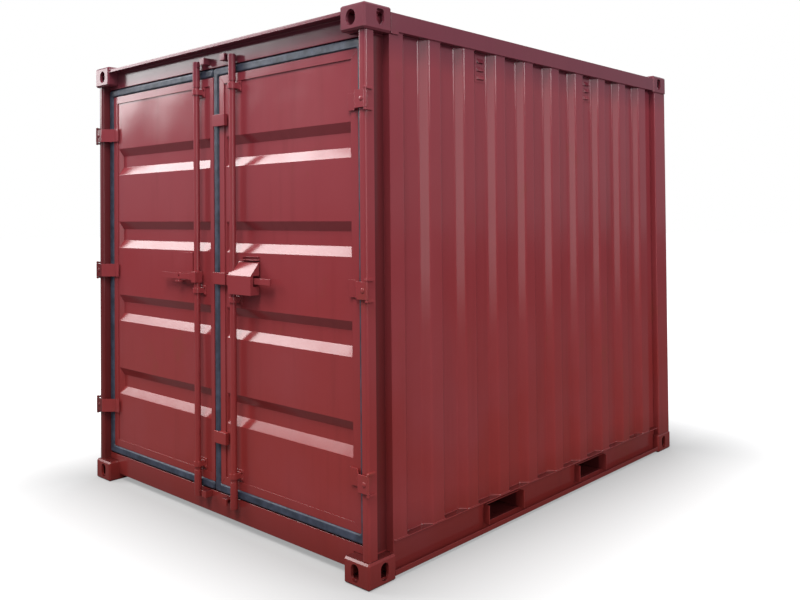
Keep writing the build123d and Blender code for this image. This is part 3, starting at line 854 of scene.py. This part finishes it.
@dataclass(frozen=True)
class Bead:
    """A weld bead with its ripples.

    The ripple is the share by which every second ring is wider and the others narrower.
    """

    radius: float = 0.0035
    step: float = 0.012
    ripple: float = 0.14
    sides: int = 6

    def points(self, corners: list[Point]) -> list[Vector]:
        """Sets points along a path.

        Args:
            corners: The path's corners.

        Returns:
            Points about one step apart.
        """
        path = [Vector(corners[0])]
        for start, stop in zip(corners, corners[1:]):
            count = max(1, round((Vector(stop) - Vector(start)).length / self.step))
            path += [Vector(start).lerp(Vector(stop), (index + 1) / count) for index in range(count)]
        return path

    def ring(self, mesh: Mesh, path: list[Vector], index: int) -> Edges:
        """Draws the ring round one point of the path, square to the path.

        Args:
            mesh: The mesh that takes it.
            path: The path's points.
            index: Which point.

        Returns:
            The ring's edges.
        """
        way = path[min(index + 1, len(path) - 1)] - path[max(index - 1, 0)]
        size = self.radius * (1.0 + (self.ripple if index % 2 else -self.ripple))
        turn = standing(path[index], way) @ Matrix.Rotation(-pi / 2, 4, "Z")
        made = bmesh.ops.create_circle(mesh, segments=self.sides, radius=size, matrix=turn)
        return list(dict.fromkeys(edge for vert in made["verts"] for edge in vert.link_edges))

    def add(self, mesh: Mesh, corners: list[Point]) -> None:
        """Adds a bead along a path, as rings that are bridged and closed at both ends.

        Args:
            mesh: The mesh that takes it.
            corners: The path's corners.
        """
        path = self.points(corners)
        rings = [self.ring(mesh, path, index) for index in range(len(path))]
        faces = []
        for first, second in zip(rings, rings[1:]):
            faces += bmesh.ops.bridge_loops(mesh, edges=first + second)["faces"]
        faces += bmesh.ops.edgeloop_fill(mesh, edges=rings[0] + rings[-1])["faces"]
        bmesh.ops.recalc_face_normals(mesh, faces=faces)


def wave_path(node: str, along: Axis, across: Axis, height: float, outward: float) -> list[Point]:
    """Follows the outer face of a corrugated sheet at one height.

    Args:
        node: The sheet's node.
        along: Axis that the sheet runs along.
        across: Axis that its waves point in.
        height: Height above the ground.
        outward: Sign of the outward direction.

    Returns:
        The corners of the outer outline in order.
    """
    outer = {}
    for vert in frame["nodes"][node].data.vertices:
        key = round(vert.co[along], FOLD_PLACES)
        face = vert.co[across] * outward
        outer[key] = max(outer.get(key, face), face)
    corners = []
    for key in sorted(outer):
        corner = [0.0, 0.0, height]
        corner[along], corner[across] = key, outer[key] * outward
        corners.append(tuple(corner))
    return corners


@dataclass
class WallSeams:
    """Weld beads where the corrugated walls meet the rails and posts."""

    shop: Workshop
    bead: Bead = Bead()
    side_heights: Pair = (0.1725, 2.486)
    end_heights: Pair = (0.158, 2.455)

    def build(self) -> None:
        """Lays the beads of both sides and of the closed end."""
        for side in Side:
            self.lay("side_wall_" + side.value, Axis.Y, Axis.X, self.side_heights, side.sign)
        self.lay("end_wall", Axis.X, Axis.Y, self.end_heights, 1.0)

    def lay(self, node: str, along: Axis, across: Axis, heights: Pair, outward: float) -> None:
        """Lays the beads at the foot and head of one wall.

        Args:
            node: The wall's node.
            along: Axis that the wall runs along.
            across: Axis that its waves point in.
            heights: Heights of the beads.
            outward: Sign of the outward direction.
        """
        mesh = bmesh.new()
        for height in heights:
            self.bead.add(mesh, wave_path(node, along, across, height, outward))
        self.shop.piece(node + "_seams", mesh, body_of_node(node))


@dataclass
class Fasteners:
    """Heads on the hinge pins, hinge blades and bar guides.

    The pin and the blade are each a distance to the side and a depth. Each bar is its
    side, its place on the X axis and the heights of its guides.
    """

    shop: Workshop
    hinge_heights: Row = (0.460, 1.3115, 2.163)
    pin_head: DomeHead = DomeHead(0.0062, 0.0035)
    pin: Pair = (1.2115, -1.4880)
    pin_half: float = 0.0520
    blade_head: DomeHead = DomeHead(0.0125, 0.0038)
    blade: Pair = (1.1885, -1.4915)
    bars: tuple = (
        (Side.LEFT, -0.140, (0.288, 1.238, 2.332)),
        (Side.RIGHT, 0.191, (0.288, 1.208, 2.332)),
    )
    guide_bolt: HexHead = HexHead(0.0085, 0.004)
    guide_face: float = -1.4310
    guide_spread: Pair = (0.0315, 0.018)

    def build(self) -> None:
        """Sets every head."""
        self.pins()
        self.blades()
        self.guides()

    def pins(self) -> None:
        """Closes the hinge pins with domed ends."""
        mesh = bmesh.new()
        for side in Side:
            for height in self.hinge_heights:
                for up in (-1.0, 1.0):
                    place = (side.sign * self.pin[0], self.pin[1], height + up * self.pin_half)
                    self.pin_head.add(mesh, place, (0.0, 0.0, up))
        self.shop.piece("hinge_pin_heads", mesh, body_of_node("hinge_ears_left"))

    def blades(self) -> None:
        """Sets one domed head on each hinge blade."""
        for side in Side:
            mesh = bmesh.new()
            for height in self.hinge_heights:
                self.blade_head.add(mesh, (side.sign * self.blade[0], self.blade[1], height), FRONT)
            body = body_of_node("hinge_blades_" + side.value)
            self.shop.piece("hinge_blade_heads_" + side.value, mesh, body)

    def guides(self) -> None:
        """Bolts the bar guides down at their four corners."""
        wide, high = self.guide_spread
        for side, bar_x, heights in self.bars:
            mesh = bmesh.new()
            for height in heights:
                for across in (-wide, wide):
                    for up in (-high, high):
                        self.guide_bolt.add(mesh, (bar_x + across, self.guide_face, height + up), FRONT)
            self.shop.piece("guide_bolts_" + side.leaf, mesh, side.leaf)


@dataclass
class FloorScrews:
    """Countersunk screws that hold the floor boards on the cross members."""

    shop: Workshop
    rows: Row = (-1.2775, -0.984, -0.690, -0.210, 0.0, 0.210, 0.690, 0.984, 1.2775)
    half: float = 1.05
    count: int = 9
    floor_top: float = 0.172
    proud: float = 0.0002
    radii: Pair = (0.006, 0.0042)
    depth: float = 0.0008
    sides: int = 10

    def build(self) -> None:
        """Sets the rows of screw heads, each a shallow tapered disc."""
        mesh = bmesh.new()
        for row in self.rows:
            for index in range(self.count):
                x = self.half * (2 * index / (self.count - 1) - 1)
                bmesh.ops.create_cone(
                    mesh, cap_ends=True, segments=self.sides, radius1=self.radii[0], radius2=self.radii[1],
                    depth=self.depth, matrix=Matrix.Translation((x, row, self.floor_top + self.proud)),
                )
        self.shop.piece("floor_screws", mesh, body_of_node("floor_boards"))


@dataclass
class DoorBorders:
    """Leaf frames with nearly level borders and dressed mitre seams at their corners.

    Each leaf is its side, its first and last place on the X axis, and the width of the
    border at the last one. The ends are the shares of a mitre between which a seam runs.
    """

    shop: Workshop
    rounding: Rounding = Rounding("leaf_frame_", 0.004, 3, 12.0)
    folded: float = -1.4265
    level: float = -1.4288
    seam: Bead = Bead(0.0012, 0.004, 0.10)
    face: float = -1.4295
    heights: Pair = (0.207, 2.406)
    border: float = 0.045
    ends: Pair = (0.08, 0.92)
    leaves: tuple = ((Side.LEFT, -1.108, -0.022, 0.030), (Side.RIGHT, 0.033, 1.108, 0.045))

    def build(self) -> None:
        """Levels the borders of both leaves and seams their corners."""
        for side, low, high, last in self.leaves:
            node = "leaf_frame_" + side.value
            mesh = self.rounding.copy(node, self.settle)
            self.shop.piece(node + "_soft", mesh, body_of_node(node), Slot.PAINT, (node,))
            seams = bmesh.new()
            for outer_x, inner_x in ((low, low + self.border), (high, high - last)):
                for outer_z, up in ((self.heights[0], self.border), (self.heights[1], -self.border)):
                    start, stop = (
                        (outer_x + (inner_x - outer_x) * share, face, outer_z + up * share)
                        for share, face in zip(self.ends, (self.level, self.face))
                    )
                    self.seam.add(seams, [start, stop])
            self.shop.piece("leaf_mitres_" + side.value, seams, body_of_node(node))

    def settle(self, mesh: Mesh) -> None:
        """Moves the outer rim of the border forward so that the border is nearly level.

        Args:
            mesh: The merged copy of a leaf frame.
        """
        for vert in mesh.verts:
            if self.level < vert.co.y < self.folded:
                vert.co.y = self.level


@dataclass
class DripBar:
    """The thin drip bar along the foot of the header's lip."""

    shop: Workshop
    half: float = 1.057
    back: float = -1.4851
    reach: float = 0.006
    span: Pair = (2.5521, 2.5585)
    slope: float = 0.002
    edge: float = 0.001

    def build(self) -> None:
        """Draws the bar's section and pulls it along the header."""
        low, high = self.span
        front = self.back - self.reach
        section = ((self.back, low), (front, low), (front, high - self.slope), (self.back, high))
        mesh = pulled_bar(section, -self.half, self.half, self.edge)
        self.shop.piece("header_drip_bar", mesh, body_of_node("door_header"))


@dataclass
class BoxBracket:
    """The folded bracket on the right leaf above the lock box."""

    shop: Workshop
    span: Pair = (0.236, 0.372)
    field: float = -1.4238
    heights: Pair = (1.4160, 1.4330)
    reach: Pair = (0.020, 0.012)
    skin: float = 0.003
    edge: float = 0.0008

    def build(self) -> None:
        """Folds two shelves with a web between them and rounds their edges."""
        low, high = self.heights
        back, inner = self.field, self.field - self.skin
        lower_front, upper_front = (self.field - reach for reach in self.reach)
        profile = (
            (back, low), (lower_front, low), (lower_front, low + self.skin), (inner, low + self.skin),
            (inner, high), (upper_front, high), (upper_front, high + self.skin), (back, high + self.skin),
        )
        mesh = pulled_bar(profile, *self.span, self.edge)
        self.shop.piece("lock_box_bracket", mesh, Side.RIGHT.leaf)


@dataclass(frozen=True)
class Lamp:
    """A soft box that hangs at a distance from the point that it faces.

    Its size is a width and a height. Its radiance is the brightness of its face, where 1
    shows as white. It is turned in its own plane and slides along its width.
    """

    name: str
    aim: Point
    towards: Point
    distance: float
    size: Pair
    radiance: float
    colour: Point = (1.0, 1.0, 1.0)
    turn: float = 0.0
    slide: float = 0.0

    def hang(self) -> None:
        """Adds the lamp to the scene."""
        data = bpy.data.lights.new(self.name, "AREA")
        data.shape = "RECTANGLE"
        data.size, data.size_y = self.size
        data.energy = self.radiance * pi * self.size[0] * self.size[1]
        data.color = self.colour
        thing = bpy.data.objects.new(self.name, data)
        way = Vector(self.towards).normalized()
        facing = way.to_track_quat("Z", "Y") @ Quaternion((0.0, 0.0, 1.0), radians(self.turn))
        thing.location = Vector(self.aim) + way * self.distance + facing @ Vector((self.slide, 0.0, 0.0))
        thing.rotation_euler = facing.to_euler()
        bpy.context.scene.collection.objects.link(thing)


# Points on the container that the lamps face.
DOORS = (0.1, -1.42, 1.5)
SIDE = (1.2, 0.0, 1.9)
BACK = (0.0, 1.5, 1.5)

# Where the pair of key lamps hangs as seen from the doors.
KEY_WAY = (-0.789, -0.339, 0.513)

LAMPS = (
    Lamp("key_left", DOORS, KEY_WAY, 9.0, (2.1, 3.45), 8.2, turn=31.0, slide=-1.05),
    Lamp("key_right", DOORS, KEY_WAY, 9.0, (2.1, 3.45), 11.2, turn=31.0, slide=1.05),
    Lamp("key_low", DOORS, (-0.808, -0.499, 0.314), 9.0, (4.2, 1.2), 6.4, turn=31.0),
    Lamp("front", DOORS, (0.22, -0.48, 0.85), 9.0, (5.0, 4.0), 12.2, (1.0, 0.96, 0.92)),
    Lamp("side_front", SIDE, (0.80, -0.52, 0.235), 10.0, (6.0, 8.4), 1.8),
    Lamp("side_rear", SIDE, (0.90, 0.28, 0.33), 10.0, (5.0, 3.0), 7.1),
    Lamp("back_fill", BACK, (-0.45, 0.80, 0.40), 10.0, (7.0, 6.0), 3.6),
)


@dataclass
class Studio:
    """Pale floor, soft light and the photograph's camera.

    The focal length and the middle row are in pixels of the picture. The floor's own glow
    grows with the distance from the container's foot and shows to the camera alone, so the
    floor near the foot is also painted darker, a painted shade added to its real shadow.
    The foot is half of the container's size, because its middle stands on the origin.
    """

    eye: Point = (3.7901, -4.0601, 1.6446)
    azimuth: float = 42.707
    elevation: float = 0.905
    roll: float = -0.502
    focal: float = 827.703
    centre_row: float = 201.834
    picture: tuple[int, int] = (800, 600)
    sensor: float = 36.0
    far_clip: float = 200.0
    floor_half: float = 60.0
    floor_seen: float = 0.24
    floor_lit: float = 0.13
    floor_glow: Ramp = Ramp(0.0, 1.0, 0.33, 1.0)
    foot: Point = (1.219, 1.4955, 0.0)
    sky: Colour = (0.84, 0.91, 1.0, 1.0)
    sky_strength: float = 0.42
    white: Colour = (1.0, 1.0, 1.0, 1.0)
    white_strength: float = 1.0
    level: float = 90.0

    def build(self) -> None:
        """Sets the scene round the container."""
        self.camera()
        self.floor()
        self.world()
        for lamp in LAMPS:
            lamp.hang()
        bpy.context.scene.view_settings.view_transform = "Standard"

    def camera(self) -> None:
        """Places the camera where the photograph was taken."""
        # An unturned camera looks straight down, and the level angle lifts it to the horizon.
        turn = Matrix.Rotation(radians(self.azimuth), 3, "Z")
        tip = Matrix.Rotation(radians(self.level + self.elevation), 3, "X")
        twist = Matrix.Rotation(radians(self.roll), 3, "Z")
        width, height = self.picture
        data = bpy.data.cameras.new("camera")
        data.sensor_width = self.sensor
        data.lens = self.focal / width * self.sensor
        data.shift_y = (self.centre_row - height / 2) / width
        data.clip_end = self.far_clip
        thing = bpy.data.objects.new("camera", data)
        thing.matrix_world = Matrix.Translation(self.eye) @ (turn @ tip @ twist).to_4x4()
        bpy.context.scene.collection.objects.link(thing)
        bpy.context.scene.camera = thing

    def floor(self) -> None:
        """Lays a wide pale floor that shows white and keeps the shadow."""
        mesh = bmesh.new()
        bmesh.ops.create_grid(mesh, x_segments=1, y_segments=1, size=self.floor_half)
        data = bpy.data.meshes.new("floor")
        mesh.to_mesh(data)
        mesh.free()
        data.materials.append(self.floor_finish())
        thing = bpy.data.objects.new("floor", data)
        bpy.context.scene.collection.objects.link(thing)

    def floor_finish(self) -> bpy.types.Material:
        """Wires the floor's dull grey and its glow for the camera.

        Returns:
            The floor's material.
        """
        bench = NodeBench("floor_pale")
        shown = bench.node("ShaderNodeLightPath").outputs["Is Camera Ray"]
        diffuse = bench.node("ShaderNodeBsdfDiffuse")
        lit, seen = ((grey, grey, grey, 1.0) for grey in (self.floor_lit, self.floor_seen))
        bench.join(bench.mix(shown, lit, seen), diffuse.inputs["Color"])
        # Less glow near the foot: painted shade round the container on top of its real shadow.
        away = bench.past(bench.coords.outputs["Object"], self.foot)
        strength = bench.spread(away, self.floor_glow)
        glow = bench.node("ShaderNodeEmission")
        bench.join(bench.combine(Operation.PRODUCT, shown, strength), glow.inputs["Strength"])
        both = bench.node("ShaderNodeAddShader")
        bench.join(diffuse.outputs[0], both.inputs[0])
        bench.join(glow.outputs[0], both.inputs[1])
        out = bench.node("ShaderNodeOutputMaterial")
        bench.join(both.outputs[0], out.inputs["Surface"])
        return bench.material

    def world(self) -> None:
        """Lights the scene from all round and shows white behind it."""
        world = bpy.data.worlds.new("studio")
        bpy.context.scene.world = world
        world.use_nodes = True
        tree = world.node_tree
        tree.nodes.clear()
        path = tree.nodes.new("ShaderNodeLightPath")
        mix = tree.nodes.new("ShaderNodeMixShader")
        tree.links.new(path.outputs["Is Camera Ray"], mix.inputs[0])
        shows = ((self.sky, self.sky_strength), (self.white, self.white_strength))
        for index, (colour, strength) in enumerate(shows, 1):
            ground = tree.nodes.new("ShaderNodeBackground")
            ground.inputs["Color"].default_value = colour
            ground.inputs["Strength"].default_value = strength
            tree.links.new(ground.outputs[0], mix.inputs[index])
        out = tree.nodes.new("ShaderNodeOutputWorld")
        tree.links.new(mix.outputs[0], out.inputs["Surface"])


def main() -> None:
    """Builds the studio and every sub-assembly in order."""
    logging.basicConfig(level=logging.INFO, format="%(name)s: %(message)s")
    Studio().build()
    paints = Paintshop()
    paints.dress_frame()
    shop = Workshop(paints)
    for rounding in EDGES:
        shop.soften(rounding)
    DoorBorders(shop).build()
    WallSeams(shop).build()
    Fasteners(shop).build()
    FloorScrews(shop).build()
    BoxBracket(shop).build()
    DripBar(shop).build()


if __name__ == "__main__":
    main()
